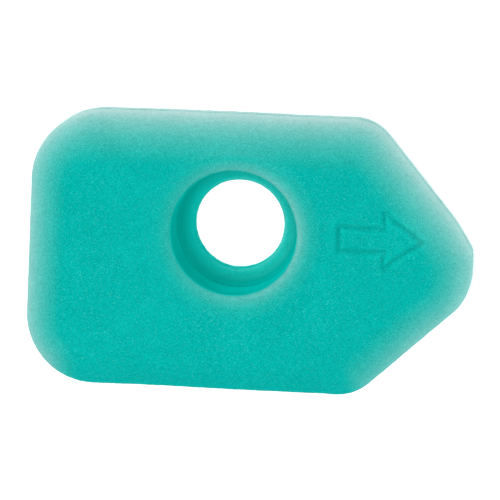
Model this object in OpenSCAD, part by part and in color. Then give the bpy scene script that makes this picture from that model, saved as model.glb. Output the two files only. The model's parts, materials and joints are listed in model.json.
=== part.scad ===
// Two-ply foam filter element for a small engine's air cleaner.
//
// The thick front ply has pillow-rounded edges and a wide bore. The thin back
// ply closes that bore down to a narrower neck hole. A glue film joins them.
//
// Frame: millimetres, +Z up. The origin is on the neck hole's axis, in the
// back face that the element lies on. +X points at the nose, +Z at the front.

/* [Outline] */
// Distance from the hole's axis to the end of the nose
nose_reach = 66; // [60:1:72]
// Distance from the hole's axis to the rear side's lower corner, before it is rounded
rear_reach = 59.5; // [50:0.5:65]
// How much nearer to the hole the rear side's upper corner is
rear_lean = 1.5; // [0:0.5:4]
// Width between the two long sides
body_width = 77.5; // [72:0.5:84]
// Distance from the hole's axis to the upper long side
upper_reach = 31.5; // [28:0.5:39]
// Where the upper long side turns towards the nose, forward of the hole
upper_shoulder_x = 37.5; // [30:0.5:42]
// Where the lower long side turns towards the nose, forward of the hole
lower_shoulder_x = 34.5; // [28:0.5:40]
// Distance from the nose's upper corner back to the bend in the upper slope
bend_distance = 9.5; // [7:0.5:14]
// How far the upper slope stands out at its bend
bend_bulge = 1; // [0.2:0.1:2]
// Upper end of the blunt nose, above the hole's axis
nose_upper_y = -4.5; // [-5.5:0.5:-3]
// Lower end of the blunt nose, above the hole's axis
nose_lower_y = -17; // [-20:0.5:-17]
// Corner radius where the rear side meets the upper long side
rear_upper_radius = 20; // [14:0.5:26]
// Corner radius where the rear side meets the lower long side
rear_lower_radius = 19.5; // [14:0.5:26]
// Corner radius at both shoulders and at the bend
shoulder_radius = 13; // [12.5:0.5:18]
// Corner radius at the upper end of the blunt nose
nose_upper_radius = 5.5; // [3:0.5:10]
// Corner radius at the lower end of the blunt nose
nose_lower_radius = 15; // [12.5:0.5:17]

/* [Thickness] */
// Thickness of the whole element
thickness = 22; // [18:1:28]
// Thickness of the thin back ply
back_ply = 4; // [3:0.5:6]
// Thickness of the glue film between the plies
film_thickness = 0.3; // [0.2:0.1:0.5]
// How far the film stops short of the outer sides
film_inset = 0.5; // [0:0.1:2]
// Radius that rounds the front face into the sides
pillow_radius = 12; // [4:0.5:12]

/* [Holes] */
// Diameter of the neck hole through the back ply
neck_diameter = 25; // [20:0.5:30]
// Diameter of the wide bore through the front ply
bore_diameter = 35; // [32:0.5:40]
// Radius of the arc that leads the front face down to the wide bore
mouth_radius = 8; // [6:0.5:10]
// Angle of that arc where it meets the bore
mouth_angle = 40; // [20:5:50]

/* [Arrow] */
// Distance from the hole's axis to the middle of the impressed arrow
arrow_x = 41; // [38:1:43]
// Length of the arrow
arrow_length = 23; // [18:1:24]
// Width across the arrow's head
arrow_head_width = 15; // [12:0.5:18]
// Length of the arrow's head
arrow_head_length = 10.5; // [8:0.5:12]
// Width of the arrow's shaft
arrow_shaft_width = 6.5; // [5:0.5:8]
// Width of the groove that draws the arrow
groove_width = 1.3; // [0.8:0.1:2]
// Depth of the groove that draws the arrow
groove_depth = 1; // [0.5:0.1:1.5]

/* [Hidden] */

overshoot = 1;          // how far a cutting tool runs past the face it opens
arc_steps = 9;          // straight pieces along the front edge's rounding
mouth_steps = 5;        // straight pieces along the mouth's arc
corner_fn = 48;         // segments round each corner of the outline
lower_reach = body_width - upper_reach;
film_bottom = back_ply;
film_top = back_ply + film_thickness;

// The bend in the upper slope, which runs from the nose to the upper shoulder
upper_shoulder = [upper_shoulder_x, upper_reach];
nose_upper = [nose_reach, nose_upper_y];
slope = unit(upper_shoulder - nose_upper);
bend = nose_upper + bend_distance * slope + bend_bulge * [slope[1], -slope[0]];

// The outline's seven corners before rounding, anticlockwise from the upper rear
corners = [
    [rear_lean - rear_reach, upper_reach],
    [-rear_reach, -lower_reach],
    [lower_shoulder_x, -lower_reach],
    [nose_reach, nose_lower_y],
    nose_upper,
    bend,
    upper_shoulder
];
radii = [
    rear_upper_radius, rear_lower_radius, shoulder_radius,
    nose_lower_radius, nose_upper_radius, shoulder_radius, shoulder_radius
];
last_corner = len(corners) - 1;

// The arrow's outline, which points along +X from the tail's upper end
arrow_tail_x = arrow_x - arrow_length / 2;
arrow_tip_x = arrow_x + arrow_length / 2;
arrow_neck_x = arrow_tip_x - arrow_head_length;
arrow_points = [
    [arrow_tail_x, arrow_shaft_width / 2],
    [arrow_tail_x, -arrow_shaft_width / 2],
    [arrow_neck_x, -arrow_shaft_width / 2],
    [arrow_neck_x, -arrow_head_width / 2],
    [arrow_tip_x, 0],
    [arrow_neck_x, arrow_head_width / 2],
    [arrow_neck_x, arrow_shaft_width / 2]
];

function unit(v) = v / norm(v);

// Centre of the circle that rounds corner i, touching the sides on both of its hands
function corner_centre(i) =
    let (
        before = corners[i == 0 ? last_corner : i - 1],
        after = corners[i == last_corner ? 0 : i + 1],
        u = unit(before - corners[i]),
        w = unit(after - corners[i]),
        half_angle = acos(u * w) / 2
    )
    corners[i] + unit(u + w) * radii[i] / sin(half_angle);

// Solid of revolution for one corner, with its upper edge rounded by edge_radius.
// On a post narrower than that, the rounding ends at the axis, below the top.
module corner_post(radius, height, edge_radius) {
    last_angle = acos(max(0, 1 - radius / edge_radius));
    rounded_edge = [
        for (i = [0 : arc_steps])
            let (a = last_angle * i / arc_steps)
            [max(0, radius - edge_radius * (1 - cos(a))), height - edge_radius * (1 - sin(a))]
    ];
    top = radius > edge_radius ? [[0, height]] : [];
    rotate_extrude($fn = corner_fn)
        polygon(concat([[0, 0], [radius, 0]], rounded_edge, top));
}

// Slab of the element's outline between two heights
module slab(bottom, top, edge_radius = 0, inset = 0) {
    translate([0, 0, bottom])
        hull()
            for (i = [0 : last_corner])
                translate(corner_centre(i))
                    if (edge_radius > 0)
                        corner_post(radii[i] - inset, top - bottom, edge_radius);
                    else
                        cylinder(r = radii[i] - inset, h = top - bottom, $fn = corner_fn);
}

// Cutting tool for a round hole between two heights
module hole(diameter, bottom, top) {
    translate([0, 0, bottom - overshoot])
        cylinder(d = diameter, h = top - bottom + 2 * overshoot, $fn = 96);
}

// Cutting tool that flares the wide bore into the front face. Its arc's last piece
// runs on through that face, because a point that lies in it leaves slivers there.
module mouth_flare() {
    bore_radius = bore_diameter / 2;
    mouth_reach = mouth_radius * sin(mouth_angle);
    mouth_drop = mouth_radius * (1 - cos(mouth_angle));
    flare = [
        for (i = [mouth_steps : -1 : 0])
            let (a = mouth_angle * i / mouth_steps)
            [bore_radius + mouth_reach - mouth_radius * sin(a), thickness - mouth_radius * (1 - cos(a))]
    ];
    flare_end = 2 * flare[mouth_steps] - flare[mouth_steps - 1];
    rotate_extrude($fn = 96)
        polygon(concat(
            [[bore_radius - overshoot, thickness - mouth_drop]],
            [for (i = [0 : mouth_steps - 1]) flare[i]],
            [
                flare_end,
                [flare_end[0], thickness + overshoot],
                [bore_radius - overshoot, thickness + overshoot]
            ]
        ));
}

// The points of an anticlockwise outline, each side moved inwards by distance
function inset_points(points, distance) =
    let (last = len(points) - 1)
    [
        for (i = [0 : last])
            let (
                arriving = unit(points[i] - points[i == 0 ? last : i - 1]),
                leaving = unit(points[i == last ? 0 : i + 1] - points[i]),
                normal_in = [-arriving[1], arriving[0]],
                normal_out = [-leaving[1], leaving[0]]
            )
            points[i] + distance * (normal_in + normal_out) / (1 + normal_in * normal_out)
    ];

// Groove along the arrow's outline, sunk into the front face
module arrow_groove() {
    translate([0, 0, thickness - groove_depth])
        linear_extrude(groove_depth + overshoot)
            difference() {
                polygon(inset_points(arrow_points, -groove_width / 2));
                polygon(inset_points(arrow_points, groove_width / 2));
            }
}

module main_foam() {
    color("lightseagreen")
        difference() {
            slab(film_top, thickness, edge_radius = pillow_radius);
            hole(bore_diameter, film_top, thickness);
            mouth_flare();
            arrow_groove();
        }
}

module bond_film() {
    color("teal")
        difference() {
            slab(film_bottom, film_top, inset = film_inset);
            hole(bore_diameter, film_bottom, film_top);
        }
}

module base_foam() {
    color("lightseagreen")
        difference() {
            slab(0, back_ply);
            hole(neck_diameter, 0, back_ply);
        }
}

main_foam();
bond_film();
base_foam();
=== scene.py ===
"""Looks of a two-ply foam filter element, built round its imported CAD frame.

Metres, +Z up, +X towards the nose. The two foam plies and the glue film between
them are rebuilt as dense meshes, and the CAD solids stay behind for collision.
"""
import json
import math

import bmesh
import bpy
import numpy as np
from mathutils import Matrix, Vector


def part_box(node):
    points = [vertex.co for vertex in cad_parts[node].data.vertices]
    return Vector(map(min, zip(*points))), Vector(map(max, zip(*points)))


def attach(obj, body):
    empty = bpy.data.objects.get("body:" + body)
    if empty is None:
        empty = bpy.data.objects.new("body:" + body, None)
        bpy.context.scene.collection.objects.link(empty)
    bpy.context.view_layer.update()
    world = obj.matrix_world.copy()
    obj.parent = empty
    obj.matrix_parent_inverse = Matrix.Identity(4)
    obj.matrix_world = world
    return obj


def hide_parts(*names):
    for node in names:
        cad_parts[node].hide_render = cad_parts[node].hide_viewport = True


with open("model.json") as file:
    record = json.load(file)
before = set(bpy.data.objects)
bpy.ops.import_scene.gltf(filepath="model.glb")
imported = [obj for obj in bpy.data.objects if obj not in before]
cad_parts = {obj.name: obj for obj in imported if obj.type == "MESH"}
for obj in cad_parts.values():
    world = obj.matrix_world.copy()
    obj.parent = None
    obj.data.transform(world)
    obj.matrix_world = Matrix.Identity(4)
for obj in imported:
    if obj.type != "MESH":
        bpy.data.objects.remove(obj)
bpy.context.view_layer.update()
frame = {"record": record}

MM = 0.001

# ---------------------------------------------------------------- dimensions
# Boxes of the CAD nodes give the lengths, and the record's mounts the hole radii.
mounts = {m["name"]: m for m in frame["record"]["mounts"]}
low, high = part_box("main_foam")
base_low, base_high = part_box("base_foam")
film_low, film_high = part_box("bond_film")
NECK_R = mounts["neck_hole"]["dims"]["r_mm"] * MM
BORE_R = mounts["wide_bore"]["dims"]["r_mm"] * MM

REAR_REACH = 59.5 * MM      # from the hole's axis to the lower rear corner, before rounding
REAR_LEAN = 1.5 * MM        # how much nearer the upper rear corner is
UPPER_SHOULDER = Vector((37.5 * MM, high[1]))
LOWER_SHOULDER = Vector((34.5 * MM, low[1]))
NOSE_UPPER = Vector((high[0], -4.5 * MM))
NOSE_LOWER = Vector((high[0], -17 * MM))
BEND_DISTANCE = 9.5 * MM    # from the nose's upper corner back to the bend in the upper slope
BEND_BULGE = 1 * MM         # how far the slope stands out there
PILLOW_R = 12 * MM          # rounds the front face into the sides
MOUTH_R = 8 * MM            # arc that leads the front face down to the wide bore
MOUTH_ANGLE = math.radians(40)
MOUTH_REACH = MOUTH_R * math.sin(MOUTH_ANGLE)
MOUTH_DROP = MOUTH_R * (1 - math.cos(MOUTH_ANGLE))
SEAM_R = 0.6 * MM           # rounds both plies where they meet
BACK_EDGE_R = 0.8 * MM      # rounds the back face into the sides
BORE_CORNER_R = 4.5 * MM    # arc that leads the ledge up to the wide bore's wall
BORE_CORNER_ANGLE = math.radians(75)
BORE_OVERLAP = 0.6 * MM     # how far the ledge's arc runs into the wall, so that no gap shows
LIP_R = 1.4 * MM            # rounds the ledge into the neck hole

slope = (UPPER_SHOULDER - NOSE_UPPER).normalized()
BEND = NOSE_UPPER + BEND_DISTANCE * slope + BEND_BULGE * Vector((slope.y, -slope.x))

# The outline's corners before rounding, anticlockwise, each with its radius
CORNERS = [
    (Vector((REAR_LEAN - REAR_REACH, high[1])), 20 * MM),
    (Vector((-REAR_REACH, low[1])), 19.5 * MM),
    (LOWER_SHOULDER, 13 * MM),
    (NOSE_LOWER, 15 * MM),
    (NOSE_UPPER, 5.5 * MM),
    (BEND, 13 * MM),
    (UPPER_SHOULDER, 13 * MM),
]
OUTLINE_STEP = 1 * MM       # between the points of the outline
SMALLEST_CORNER = 0.2 * MM  # radius of a corner that the edge's rounding has used up

ARROW_X = 41 * MM           # middle of the arrow, forward of the hole
ARROW_LENGTH = 23 * MM
ARROW_HEAD_WIDTH = 15 * MM
ARROW_HEAD_LENGTH = 10.5 * MM
ARROW_SHAFT_WIDTH = 6.5 * MM
GROOVE_HALF_WIDTH = 0.85 * MM
GROOVE_DEPTH = 1 * MM
DISH_DEPTH = 0.3 * MM       # shallow dent that the arrow lies in
DISH_MARGIN = 3 * MM        # how far it reaches past the arrow
DISH_EDGE = (0.7, 1.1)      # where it ends, as shares of that reach
FRONT_LAYER = (3 * MM, 1 * MM)  # the arrow's marks fade in between these depths below the face

VOXEL = 0.53 * MM           # size of the plies' mesh faces
FINER_DEPTH = 1 * MM        # the faces round the arrow are halved down to this depth
FINER_MARGIN = 2 * MM       # and this far past it
CUTTER_MARGIN = 1 * MM      # how far the mouth's cutter runs past what it cuts

# ----------------------------------------------------------------- appearance
# Linear colours
DEEP_TEAL = (0.0005, 0.345, 0.302, 1.0)
LIGHT_TEAL = (0.002, 0.495, 0.450, 1.0)
# lighter teal on the hole's upright wall: painted light that brightens its shade
WALL_PAINTED_LIGHT_TEAL = (0.0005, 0.58, 0.512, 1.0)
# whitish colour of the painted sheen and the painted glints
PAINTED_LIGHT_PALE = (0.78, 0.88, 0.87, 1.0)
DARK_GLUE = (0.002, 0.16, 0.14, 1.0)
LIGHT_GLUE = (0.004, 0.24, 0.21, 1.0)

# Height and width of the foam surface's bumps in the mesh
WAVE = (0.16 * MM, 22 * MM)
CLUMP = (0.05 * MM, 2.4 * MM)
CELL = (0.045 * MM, 0.8 * MM)

# Sizes in the foam's pattern, and how much each changes its tone, from 0 (deep) to 1 (light)
PORE = 0.38 * MM
PORE_TONE = (0.85, 0.15)    # from a pore's middle to its edge
STRUT = 0.22 * MM
STRUT_TONE = 0.35
CLUSTER = 1.6 * MM
CLUSTER_TONE = 0.12
BLOTCH = 14 * MM
BLOTCH_TONE = 0.08
PORE_RANGE = (0.1, 0.7)     # where the pores' distances mostly lie
NOISE_RANGE = (0.3, 0.7)    # where the noise textures' values mostly lie
INSIDE_TONE = 0.35          # the even tone inside the hole
PAINTED_GLINT = 0.17              # share of whitish colour painted as glints on the brightest struts
PAINTED_GLINT_RANGE = (0.62, 0.8)  # strut noise over which it sets in
FOAM_ROUGHNESS = (1.0, 0.85)  # from deep to light tone
FOAM_BUMP = 0.2 * MM
FOAM_SCATTER = 3 * MM       # how far light spreads below the foam's surface
GLUE_RIPPLE = 1.2 * MM
GLUE_BUMP = 0.1 * MM

# The painted sheen is the share of whitish colour on an upright surface: painted light that stands
# in for lamps catching the rounded edges, so it fades out on the lower long side, which faces no
# lamp.
# The normal's direction in plan says which side a surface belongs to: Y is 1 on the upper long
# side and -1 on the lower one.
PAINTED_SHEEN_SIDES = 0.26          # on every side but the lower long side
PAINTED_SHEEN_REAR = 0.05           # more along the rear side
PAINTED_SHEEN_RIM = 0.17            # more along the steepest part of the upper side
PAINTED_SHEEN_UPPER_FACE = 0.012    # on the front face between the hole and the upper side, though flat
PAINTED_SHEEN_GRAIN = (0.75, 1.25)  # the painted sheen is multiplied by this, from deep to light tone
LOWER_END = -0.65           # Y below which the painted sheen fades out
LOWER_SIDE_FADE = (3 * MM, 13 * MM)  # the lower long side has it at its base, up to these heights
SHOULDER_PAINTED_SHEEN = 0.4        # share of it beside the lower long side's ends
SHOULDER_FADE = (30 * MM, 54 * MM)  # distance forward or rearward over which the rest comes back
BASE_PAINTED_SHEEN = (0.6, 1.2)     # share of it at the back face, on the lower and the upper sides
BASE_SIDES = (-0.5, 0.5)    # Y between which those shares change over

# Both of the hole's rims have a band of painted sheen of their own, and the rest of the hole has
# an even tone
PAINTED_SHEEN_ROUND_MOUTH = (0.6, 0.09)  # round the wide bore, from its nose side to its rear side
PAINTED_SHEEN_ROUND_NECK = (0.2, 0.011)  # the same round the neck hole
FLAT_BAND = 0.02            # how upright the band counts as where it is flat
BAND_START = 0.8 * MM       # it grows to its full strength over this distance from the hole
BAND_END = 2.5 * MM         # and gives way to the sides' bloom over this one
NECK_BAND = 1.6 * MM        # its width round the neck hole
INSIDE_EDGE = 0.5 * MM      # width of the edge of the hole's inside
INSIDE_HEIGHTS = (1 * MM, 2 * MM)  # heights over which the inside starts, above the back face
WALL_UPRIGHT = (0.3, 0.9)   # how upright the inside has to be to count as wall, which gets painted light


# ------------------------------------------------------------------- outline
def corner_arcs(inset):
    """Centre, radius, first angle and turn of each rounded corner of the outline moved inwards."""
    arcs = []
    for i, (point, radius) in enumerate(CORNERS):
        before = (CORNERS[i - 1][0] - point).normalized()
        after = (CORNERS[(i + 1) % len(CORNERS)][0] - point).normalized()
        half_angle = before.angle(after) / 2
        left = max(radius - inset, SMALLEST_CORNER)
        centre = point + (before + after).normalized() * (inset + left) / math.sin(half_angle)
        first_angle = math.atan2(before.x, -before.y)
        arcs.append((centre, left, first_angle, math.pi - 2 * half_angle))
    return arcs


def on_arc(centre, radius, angle):
    return centre + radius * Vector((math.cos(angle), math.sin(angle)))


def outline(inset=0.0):
    """Points of the outline moved inwards, anticlockwise, and as many of them at any inset."""
    arcs = corner_arcs(inset)
    points = []
    for i, (centre, radius, first_angle, turn) in enumerate(arcs):
        following = (i + 1) % len(arcs)
        pieces = max(3, round(CORNERS[i][1] * turn / OUTLINE_STEP))
        points += [on_arc(centre, radius, first_angle + turn * k / pieces) for k in range(pieces)]
        start = on_arc(centre, radius, first_angle + turn)
        end = on_arc(*arcs[following][:3])
        pieces = round((CORNERS[following][0] - CORNERS[i][0]).length / OUTLINE_STEP)
        points += [start.lerp(end, k / pieces) for k in range(pieces)]
    return np.array(points)


# --------------------------------------------------------------- mesh makers
def ring_mesh(name, rings):
    """Closed mesh whose section runs through the rings, each an array of (x, y, z) points."""
    count = len(rings[0])
    verts = np.concatenate(rings).tolist()
    faces = []
    for r in range(len(rings)):
        a = r * count
        b = (r + 1) % len(rings) * count
        for k in range(count):
            n = (k + 1) % count
            faces.append((a + k, a + n, b + n, b + k))
    mesh = bpy.data.meshes.new(name)
    mesh.from_pydata(verts, [], faces)
    bm = bmesh.new()
    bm.from_mesh(mesh)
    bmesh.ops.recalc_face_normals(bm, faces=bm.faces)
    bm.to_mesh(mesh)
    bm.free()
    return mesh


def edge_arc(radius, steps, first, last):
    """(inset, drop) pairs along a quarter round, from angle first to last in degrees."""
    angles = np.radians(np.linspace(first, last, steps))
    return [(radius * (1 - math.cos(a)), radius * (1 - math.sin(a))) for a in angles]


def level(points, height):
    return np.column_stack([points, np.full(len(points), height)])


def outer_rings(section):
    """Rings of the outline for (inset, height) pairs."""
    return [level(outline(inset), height) for inset, height in section]


def hole_rings(points, section):
    """Rings round the hole for (radius, height) pairs, one point towards each of points."""
    direction = points / np.linalg.norm(points, axis=1)[:, None]
    return [level(direction * radius, height) for radius, height in section]


def pierced_slab(name, outside, inside):
    """Closed mesh between the outline's (inset, height) and the hole's (radius, height) pairs."""
    return ring_mesh(name, outer_rings(outside) + hole_rings(outline(), inside))


def voxel_remeshed(mesh, cutter=None):
    """The closed mesh resampled into even quads, after the cutter is taken out of it."""
    carrier = bpy.data.objects.new("carrier", mesh)
    bpy.context.collection.objects.link(carrier)
    tool = None
    if cutter:
        tool = bpy.data.objects.new("cutter", cutter)
        bpy.context.collection.objects.link(tool)
        cut = carrier.modifiers.new("cut", "BOOLEAN")
        cut.operation = "DIFFERENCE"
        cut.solver = "EXACT"
        cut.object = tool
    remesh = carrier.modifiers.new("remesh", "REMESH")
    remesh.mode = "VOXEL"
    remesh.voxel_size = VOXEL
    result = bpy.data.meshes.new_from_object(
        carrier.evaluated_get(bpy.context.evaluated_depsgraph_get())
    )
    bpy.data.objects.remove(carrier)
    if tool:
        bpy.data.objects.remove(tool)
    return result


def vertex_array(mesh, what="co"):
    values = np.empty(len(mesh.vertices) * 3)
    mesh.vertices.foreach_get(what, values)
    return values.reshape(-1, 3)


def set_vertices(mesh, points):
    mesh.vertices.foreach_set("co", points.ravel())
    mesh.update()


def smoothed(mesh, rounds):
    """Evens out the mesh by moving each vertex halfway to the mean of its neighbours."""
    points = vertex_array(mesh)
    edges = np.empty(len(mesh.edges) * 2, dtype=np.int64)
    mesh.edges.foreach_get("vertices", edges)
    a, b = edges.reshape(-1, 2).T
    degree = np.bincount(np.concatenate([a, b]), minlength=len(points))[:, None]
    for _ in range(rounds):
        total = np.zeros_like(points)
        np.add.at(total, a, points[b])
        np.add.at(total, b, points[a])
        points = (points + total / degree) / 2
    set_vertices(mesh, points)


def lattice_noise(points, size, seed):
    """Smooth noise from -1 to 1 at each point, with features of the given size.

    Each corner of a cubic lattice has a value hashed from its place and the seed.
    """
    grid = points / size
    cell = np.floor(grid).astype(np.int64)
    part = grid - cell
    part = part * part * (3 - 2 * part)
    value = np.zeros(len(points))
    for corner in range(8):
        offset = np.array([corner & 1, corner >> 1 & 1, corner >> 2 & 1])
        key = (cell + offset) @ np.array([73856093, 19349663, 83492791]) + seed * 2654435761
        key = (key ^ (key >> 13)) * 1274126177 & 0x7FFFFFFF
        key = (key ^ (key >> 16)) * 1103515245 & 0x7FFFFFFF
        weight = np.prod(np.where(offset == 1, part, 1 - part), axis=1)
        value += weight * (key / 0x3FFFFFFF - 1)
    return value


def ramp(x, start, end):
    return np.clip((x - start) / (end - start), 0, 1)


def smooth_step(x, start, end):
    t = ramp(x, start, end)
    return t * t * (3 - 2 * t)


# ------------------------------------------------------------- impressed arrow
def arrow_outline():
    tail = ARROW_X - ARROW_LENGTH / 2
    tip = ARROW_X + ARROW_LENGTH / 2
    neck = tip - ARROW_HEAD_LENGTH
    shaft = ARROW_SHAFT_WIDTH / 2
    head = ARROW_HEAD_WIDTH / 2
    return np.array([
        (tail, shaft), (tail, -shaft), (neck, -shaft), (neck, -head),
        (tip, 0), (neck, head), (neck, shaft),
    ])


def distance_to_outline(points, corners):
    """Distance in plan from each point to the closed outline."""
    nearest = np.full(len(points), np.inf)
    for start, end in zip(corners, np.roll(corners, -1, axis=0)):
        run = end - start
        along = np.clip((points[:, :2] - start) @ run / (run @ run), 0, 1)
        foot = start + along[:, None] * run
        nearest = np.minimum(nearest, np.linalg.norm(points[:, :2] - foot, axis=1))
    return nearest


def refine_near_arrow(mesh):
    """Halves the mesh faces round the arrow, so that its grooves have a smooth section."""
    bm = bmesh.new()
    bm.from_mesh(mesh)
    reach_x = ARROW_LENGTH / 2 + FINER_MARGIN
    reach_y = ARROW_HEAD_WIDTH / 2 + FINER_MARGIN
    edges = [
        e for e in bm.edges
        if all(
            v.co.z > high[2] - FINER_DEPTH
            and abs(v.co.x - ARROW_X) < reach_x
            and abs(v.co.y) < reach_y
            for v in e.verts
        )
    ]
    bmesh.ops.subdivide_edges(bm, edges=edges, cuts=1, use_grid_fill=True)
    bm.to_mesh(mesh)
    bm.free()


# ------------------------------------------------------------------ the plies
def add_painted_sheen(mesh, hole_radius, band_width, round_hole):
    """Stores on each vertex its painted sheen, and if it is in the hole or its wall.

    The painted sheen is whitish colour standing in for light: strongest on rounded and upright
    surfaces, and least on the lower long side, which faces no lamp. A band round the hole has
    painted sheen of its own, and the hole's wall has none.
    """
    points = vertex_array(mesh)
    normals = vertex_array(mesh, "normal")
    upright = np.clip(1 - normals[:, 2] ** 2, 1e-6, 1)
    towards_nose, towards_upper = normals[:, :2].T / np.sqrt(upright)
    height = points[:, 2]
    radius = np.hypot(points[:, 0], points[:, 1])

    near_shoulder = 1 - smooth_step(np.abs(points[:, 0]), *SHOULDER_FADE)
    near_shoulder *= 1 - ramp(towards_upper, LOWER_END, 0)
    sides = smooth_step(towards_upper, -1, LOWER_END)
    sides *= 1 - (1 - SHOULDER_PAINTED_SHEEN) * near_shoulder
    sides = np.maximum(sides, 1 - smooth_step(height, *LOWER_SIDE_FADE))
    sides *= PAINTED_SHEEN_SIDES + PAINTED_SHEEN_REAR * ramp(-towards_nose, 0, 1)
    rim = PAINTED_SHEEN_RIM * ramp(towards_upper, 0, 1)
    outer_start = BORE_R + MOUTH_REACH
    outer = smooth_step(radius, outer_start, outer_start + BAND_END)
    on_lower, on_upper = BASE_PAINTED_SHEEN
    at_base = on_lower + (on_upper - on_lower) * ramp(towards_upper, *BASE_SIDES)
    outer *= at_base + (1 - at_base) * smooth_step(height, 0, high[2] - PILLOW_R)

    nose_side, rear_side = round_hole
    band = nose_side + (rear_side - nose_side) * ramp(towards_nose, -1, 1)
    band_edge = hole_radius + band_width
    band *= smooth_step(radius, hole_radius, hole_radius + BAND_START)
    band *= 1 - smooth_step(radius, band_edge, band_edge + BAND_END)

    # painted sheen: whitish colour standing in for light on the rims, the sides and the shoulders
    painted_sheen = (upright + FLAT_BAND) * band + outer * (upright * sides + upright ** 4 * rim)
    painted_sheen += PAINTED_SHEEN_UPPER_FACE * smooth_step(points[:, 1], BORE_R, BORE_R + MOUTH_REACH)
    inside = smooth_step(radius, NECK_R, NECK_R + INSIDE_EDGE)
    inside *= 1 - smooth_step(radius, BORE_R, BORE_R + INSIDE_EDGE)
    inside *= smooth_step(height, *INSIDE_HEIGHTS) * (1 - band / nose_side)
    # the hole's upright wall is marked for a lighter teal, painted light that brightens its shade
    wall = inside * smooth_step(upright, *WALL_UPRIGHT)
    wall *= smooth_step(radius, NECK_R + LIP_R, NECK_R + 2 * LIP_R)
    for name, values in (("painted_sheen", painted_sheen), ("inside", inside), ("wall", wall)):
        layer = mesh.attributes.new(name, "FLOAT", "POINT")
        layer.data.foreach_set("value", values)


def foam_texture(mesh, seed):
    """Moves the surface in and out, in a wave that both plies share, in clumps and in cells."""
    points = vertex_array(mesh)
    normals = vertex_array(mesh, "normal")
    bumps = ((WAVE, 0), (CLUMP, seed + 1), (CELL, seed + 2))
    move = sum(depth * lattice_noise(points, width, source) for (depth, width), source in bumps)
    set_vertices(mesh, points + normals * move[:, None])


def mouth_cutter():
    """Ring that flares the wide bore into the front face."""
    top = high[2]
    outer = BORE_R + MOUTH_REACH
    angles = np.linspace(MOUTH_ANGLE, 0, 12)
    section = [(BORE_R - CUTTER_MARGIN, top - MOUTH_DROP)]
    section += [(outer - MOUTH_R * math.sin(a), top - MOUTH_R * (1 - math.cos(a))) for a in angles]
    section += [(outer, top + CUTTER_MARGIN), (BORE_R - CUTTER_MARGIN, top + CUTTER_MARGIN)]
    turn = np.linspace(0, 2 * math.pi, 192, endpoint=False)
    circle = np.column_stack([np.cos(turn), np.sin(turn)])
    return ring_mesh("mouth", hole_rings(circle, section))


def front_ply():
    bottom, top = low[2], high[2]
    outside = [(SEAM_R * 2, bottom)]
    outside += [(inset, bottom + drop) for inset, drop in edge_arc(SEAM_R, 4, 90, 0)]
    outside += [(inset, top - drop) for inset, drop in edge_arc(PILLOW_R, 16, 0, 90)]
    inside = [(BORE_R, top), (BORE_R, bottom)]
    mesh = pierced_slab("main_foam_skin", outside, inside)
    mesh = voxel_remeshed(mesh, mouth_cutter())
    smoothed(mesh, 2)
    refine_near_arrow(mesh)
    add_painted_sheen(mesh, BORE_R, MOUTH_REACH, PAINTED_SHEEN_ROUND_MOUTH)
    foam_texture(mesh, 11)

    points = vertex_array(mesh)
    fade_start, fade_end = FRONT_LAYER
    on_front = smooth_step(points[:, 2], top - fade_start, top - fade_end)
    away = distance_to_outline(points, arrow_outline())
    groove = GROOVE_DEPTH * np.exp(-((away / GROOVE_HALF_WIDTH) ** 2))
    dish_x = (points[:, 0] - ARROW_X) / (ARROW_LENGTH / 2 + DISH_MARGIN)
    dish_y = points[:, 1] / (ARROW_HEAD_WIDTH / 2 + DISH_MARGIN)
    dish = DISH_DEPTH * (1 - smooth_step(np.hypot(dish_x, dish_y), *DISH_EDGE))
    points[:, 2] -= on_front * (groove + dish)
    set_vertices(mesh, points)
    return mesh


def back_ply():
    bottom, top = base_low[2], base_high[2]
    outside = [(BACK_EDGE_R * 2, bottom)]
    outside += [(inset, bottom + drop) for inset, drop in edge_arc(BACK_EDGE_R, 5, 90, 0)]
    outside += [(inset, top - drop) for inset, drop in edge_arc(SEAM_R, 4, 0, 90)]
    corner_end = BORE_R + BORE_OVERLAP
    corner_start = corner_end - BORE_CORNER_R * math.sin(BORE_CORNER_ANGLE)
    inside = [(corner_end, top)]
    inside += [
        (corner_start + BORE_CORNER_R * math.sin(a), top + BORE_CORNER_R * (1 - math.cos(a)))
        for a in np.linspace(BORE_CORNER_ANGLE, 0, 12)
    ]
    inside += [(NECK_R + inset, top - drop) for inset, drop in edge_arc(LIP_R, 6, 90, 0)]
    inside += [(NECK_R, bottom)]
    mesh = pierced_slab("base_foam_skin", outside, inside)
    mesh = voxel_remeshed(mesh)
    smoothed(mesh, 1)
    add_painted_sheen(mesh, NECK_R, NECK_BAND, PAINTED_SHEEN_ROUND_NECK)
    foam_texture(mesh, 23)
    points = vertex_array(mesh)
    points[:, 2] = np.maximum(points[:, 2], bottom)     # it lies flat on its back face
    set_vertices(mesh, points)
    return mesh


def film_sheet():
    inset = film_low[0] - low[0]
    bottom, top = film_low[2], film_high[2]
    outside = [(inset, bottom), (inset, top)]
    inside = [(BORE_R, top), (BORE_R, bottom)]
    return pierced_slab("bond_film_skin", outside, inside)


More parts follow.
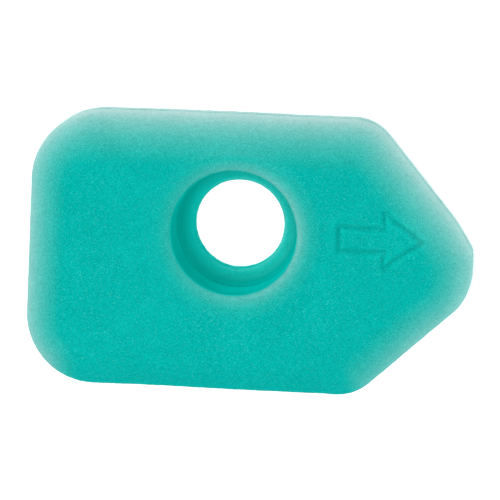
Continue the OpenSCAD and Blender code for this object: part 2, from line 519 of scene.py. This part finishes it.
# ------------------------------------------------------------------ materials
class Nodes:
    """Short forms for building a node graph."""

    def __init__(self, name):
        self.material = bpy.data.materials.new(name)
        self.material.use_nodes = True
        self.tree = self.material.node_tree
        self.shader = self.tree.nodes["Principled BSDF"]

    def fill(self, socket, value):
        if isinstance(value, bpy.types.NodeSocket):
            self.tree.links.new(value, socket)
        else:
            socket.default_value = value

    def add(self, kind, inputs=(), **settings):
        node = self.tree.nodes.new("ShaderNode" + kind)
        for key, value in settings.items():
            setattr(node, key, value)
        for key, value in dict(inputs).items():
            self.fill(node.inputs[key], value)
        return node

    def math(self, operation, a, b=0.0, clamp=False):
        return self.add("Math", {0: a, 1: b}, operation=operation, use_clamp=clamp).outputs[0]

    def total(self, *values, clamp=False):
        result = values[0]
        for value in values[1:]:
            result = self.math("ADD", result, value, clamp)
        return result

    def product(self, *values):
        result = values[0]
        for value in values[1:]:
            result = self.math("MULTIPLY", result, value)
        return result

    def remap(self, value, old_range, new_range):
        """value taken from the old range to the new one, clamped."""
        return self.add("MapRange", {
            "Value": value,
            "From Min": old_range[0], "From Max": old_range[1],
            "To Min": new_range[0], "To Max": new_range[1],
        }).outputs[0]

    def swing(self, noise, amount):
        """A noise texture's value turned into -amount..amount."""
        return self.remap(noise, NOISE_RANGE, (-amount, amount))

    def noise(self, where, size, detail):
        inputs = {"Vector": where, "Scale": 1 / size, "Detail": detail}
        return self.add("TexNoise", inputs).outputs["Fac"]

    def attribute(self, name):
        return self.add("Attribute", attribute_name=name).outputs["Fac"]

    def mix(self, factor, a, b):
        """Colour a where factor is 0, and b where it is 1."""
        node = self.add("Mix", data_type="RGBA")
        colour = [s for s in node.inputs if s.type == "RGBA"]
        self.fill(node.inputs[0], factor)
        self.fill(colour[0], a)
        self.fill(colour[1], b)
        return node.outputs["Result"]

    def link(self, source, socket):
        self.tree.links.new(source, self.shader.inputs[socket])

    def set(self, **values):
        """Constants on the shader's own sockets, with _ for a space in a socket's name."""
        for key, value in values.items():
            self.shader.inputs[key.replace("_", " ")].default_value = value


def foam_material(name):
    """Open-cell foam: pores, struts, clusters, slow blotches, and painted light: the vertices'
    painted sheen, painted glints on struts and a lighter teal on the hole's wall.
    """
    g = Nodes(name)
    where = g.add("TexCoord").outputs["Object"]
    cells = g.add("TexVoronoi", {"Vector": where, "Scale": 1 / PORE}, feature="F1")
    struts = g.noise(where, STRUT, 2.0)
    clusters = g.noise(where, CLUSTER, 3.0)
    blotches = g.noise(where, BLOTCH, 2.0)
    inside = g.attribute("inside")

    tone = g.total(
        g.remap(cells.outputs["Distance"], PORE_RANGE, PORE_TONE),
        g.swing(struts, STRUT_TONE),
        g.swing(clusters, CLUSTER_TONE),
        g.swing(blotches, BLOTCH_TONE),
        clamp=True,
    )
    # painted glints: whitish flecks on the brightest struts, left out inside the hole
    painted_glint = g.remap(struts, PAINTED_GLINT_RANGE, (0.0, PAINTED_GLINT))
    # painted light: the vertices' painted sheen, with grain, and the painted glints outside the
    # hole
    painted_light_share = g.total(
        g.product(g.attribute("painted_sheen"), g.remap(tone, (0.0, 1.0), PAINTED_SHEEN_GRAIN)),
        g.product(painted_glint, g.math("SUBTRACT", 1.0, inside)),
    )
    even_tone = g.total(tone, g.product(inside, g.math("SUBTRACT", INSIDE_TONE, tone)))
    # the marked wall gets the lighter teal as painted light
    teal = g.mix(g.attribute("wall"), g.mix(even_tone, DEEP_TEAL, LIGHT_TEAL), WALL_PAINTED_LIGHT_TEAL)
    g.link(g.mix(painted_light_share, teal, PAINTED_LIGHT_PALE), "Base Color")
    bump = g.add("Bump", {"Height": tone, "Strength": 0.3, "Distance": FOAM_BUMP})
    g.link(bump.outputs["Normal"], "Normal")
    g.link(g.remap(tone, (0.0, 1.0), FOAM_ROUGHNESS), "Roughness")
    g.set(
        Specular_IOR_Level=0.0,
        Subsurface_Weight=1.0,
        Subsurface_Radius=(1.0, 1.0, 1.0),
        Subsurface_Scale=FOAM_SCATTER,
    )
    return g.material


def film_material(name):
    """Dried adhesive: darker teal with a satin surface and fine ripples."""
    g = Nodes(name)
    where = g.add("TexCoord").outputs["Object"]
    ripples = g.noise(where, GLUE_RIPPLE, 2.0)
    g.link(g.mix(ripples, DARK_GLUE, LIGHT_GLUE), "Base Color")
    bump = g.add("Bump", {"Height": ripples, "Strength": 0.4, "Distance": GLUE_BUMP})
    g.link(bump.outputs["Normal"], "Normal")
    g.set(Roughness=0.45)
    return g.material


# ----------------------------------------------------------------- the pieces
def piece(name, mesh, node, material):
    obj = bpy.data.objects.new(name, mesh)
    bpy.context.collection.objects.link(obj)
    mesh.polygons.foreach_set("use_smooth", [True] * len(mesh.polygons))
    mesh.materials.clear()
    mesh.materials.append(material)
    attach(obj, "root")
    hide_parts(node)
    return obj


front = piece(
    "main_foam_skin", front_ply(), "main_foam",
    foam_material("front_foam_look"),
)
back = piece(
    "base_foam_skin", back_ply(), "base_foam",
    foam_material("back_foam_look"),
)
piece(
    "bond_film_skin", film_sheet(), "bond_film",
    film_material("glue_film_look"),
)


# ------------------------------------------------------- floor, light, camera
def make_floor():
    half = 0.75
    corners = [(-half, -half, 0), (half, -half, 0), (half, half, 0), (-half, half, 0)]
    mesh = bpy.data.meshes.new("floor")
    mesh.from_pydata(corners, [], [(0, 1, 2, 3)])
    floor = bpy.data.objects.new("floor", mesh)
    bpy.context.collection.objects.link(floor)
    g = Nodes("floor_look")
    g.set(
        Base_Color=(0.9, 0.9, 0.9, 1.0),
        Roughness=0.9,
        Specular_IOR_Level=0.0,
        Emission_Color=(1.0, 1.0, 1.0, 1.0),
        Emission_Strength=0.3,
    )
    mesh.materials.append(g.material)


def area_light(name, azimuth, elevation, distance, width, height, power):
    """A rectangular soft light aimed at the element, in metres, degrees and watts.

    Azimuth 0 is +X and 90 is +Y.
    """
    light = bpy.data.lights.new(name, "AREA")
    light.shape = "RECTANGLE"
    light.size = width
    light.size_y = height
    light.energy = power
    obj = bpy.data.objects.new(name, light)
    bpy.context.collection.objects.link(obj)
    a, e = math.radians(azimuth), math.radians(elevation)
    direction = Vector((math.cos(a) * math.cos(e), math.sin(a) * math.cos(e), math.sin(e)))
    obj.location = direction * distance
    obj.rotation_euler = direction.to_track_quat("Z", "Y").to_euler()


def make_world():
    """A white backdrop, which only camera rays see, so that it lights nothing."""
    world = bpy.data.worlds.new("studio")
    bpy.context.scene.world = world
    world.use_nodes = True
    background = world.node_tree.nodes["Background"]
    background.inputs["Color"].default_value = (1.0, 1.0, 1.0, 1.0)
    rays = world.node_tree.nodes.new("ShaderNodeLightPath")
    world.node_tree.links.new(rays.outputs["Is Camera Ray"], background.inputs["Strength"])


def make_camera():
    """Looks down on the element, leaning a little towards the nose and the upper side."""
    lean_x, lean_y = math.radians(5.83), math.radians(9.89)
    roll = math.radians(2.56)
    distance = 1.0
    field = 0.1401            # width of the view at the target
    target = Vector((0.0039, -0.0060, (base_low[2] + high[2]) / 2))
    back_axis = Vector((math.tan(lean_x), math.tan(lean_y), 1)).normalized()
    right = (Vector((1, 0, 0)) - back_axis * back_axis.x).normalized()
    up = back_axis.cross(right)
    right, up = (
        math.cos(roll) * right + math.sin(roll) * up,
        math.cos(roll) * up - math.sin(roll) * right,
    )
    data = bpy.data.cameras.new("camera")
    data.sensor_width = 36
    data.lens = data.sensor_width * distance / field
    data.clip_end = 10
    camera = bpy.data.objects.new("camera", data)
    bpy.context.collection.objects.link(camera)
    turn = Matrix((right, up, back_axis)).transposed()
    camera.matrix_world = Matrix.Translation(target + back_axis * distance) @ turn.to_4x4()
    bpy.context.scene.camera = camera


make_floor()
make_world()
area_light("top", azimuth=0, elevation=90, distance=1.4, width=0.8, height=0.8, power=24.5)
area_light("back_left", azimuth=135, elevation=38, distance=0.9, width=0.6, height=0.4, power=2.2)
area_light("low_right", azimuth=0, elevation=8, distance=0.6, width=0.5, height=0.14, power=0.9)
make_camera()
bpy.context.scene.view_settings.view_transform = "Standard"
